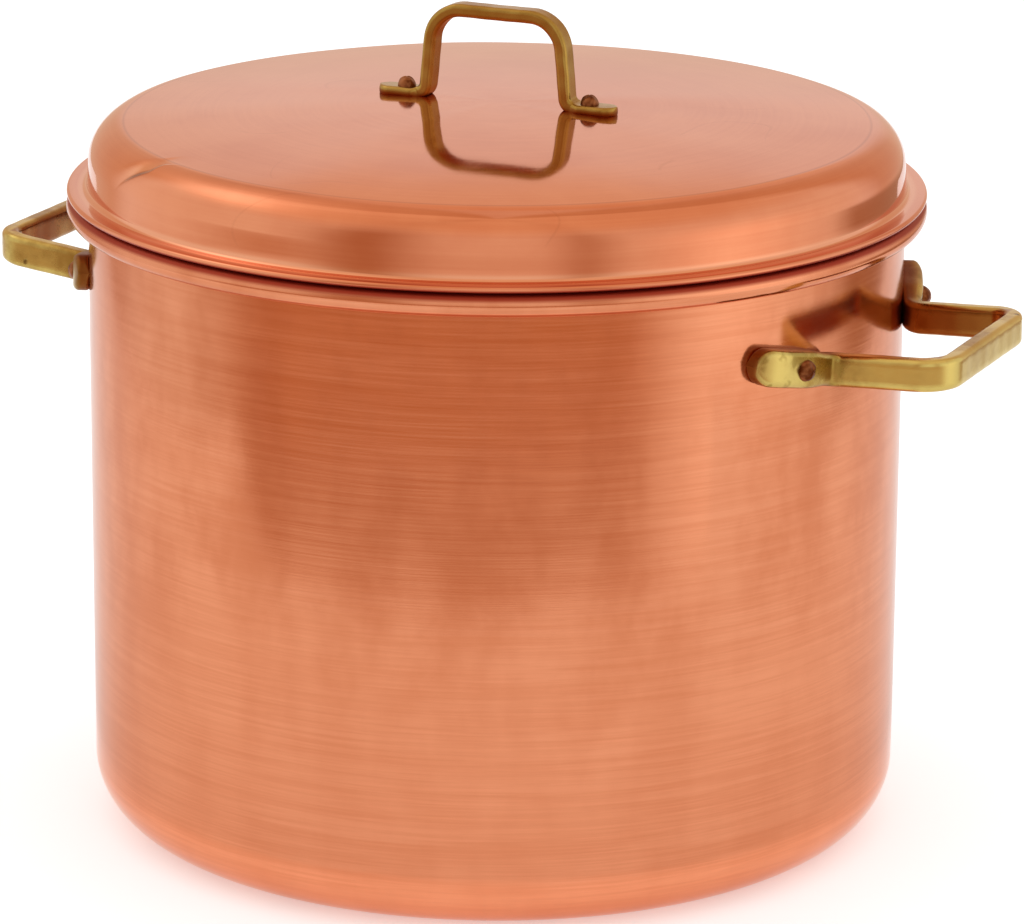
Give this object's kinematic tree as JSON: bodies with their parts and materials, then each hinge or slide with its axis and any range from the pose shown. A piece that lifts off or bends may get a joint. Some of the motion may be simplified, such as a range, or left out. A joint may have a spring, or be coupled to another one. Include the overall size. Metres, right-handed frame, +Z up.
{
  "type": "stockpot with lid",
  "caption": "Straight-sided copper stockpot with a rolled rim, a domed lift-off lid, a tin lining and riveted brass loop handles on its sides and lid.",
  "frame": {"origin": "middle of the pot's underside", "axes": "+Z up along the pot's axis, +X through the right handle, -Y towards the front"},
  "size_m": [0.3069, 0.2526, 0.2443],
  "materials": {
    "body_copper": "satin copper, brushed round the pot",
    "lid_copper": "polished copper",
    "tin": "wiped tin lining",
    "brass": "aged brass",
    "rivet_copper": "dark hammered copper"
  },
  "bodies": {
    "pot": {"pot_body": "body_copper", "pot_lining": "tin", "right_handle": "brass", "left_handle": "brass", "right_handle_rivet_front": "rivet_copper", "right_handle_rivet_rear": "rivet_copper", "left_handle_rivet_front": "rivet_copper", "left_handle_rivet_rear": "rivet_copper"},
    "lid": {"lid_shell": "lid_copper", "lid_lining": "tin", "lid_handle": "brass", "lid_rivet_left": "rivet_copper", "lid_rivet_right": "rivet_copper"}
  },
  "joints": [
    {"name": "lid_lift", "type": "slide", "parent": "pot", "child": "lid", "axis": [0, 0, 1], "range_m": [0, 0.3]}
  ]
}
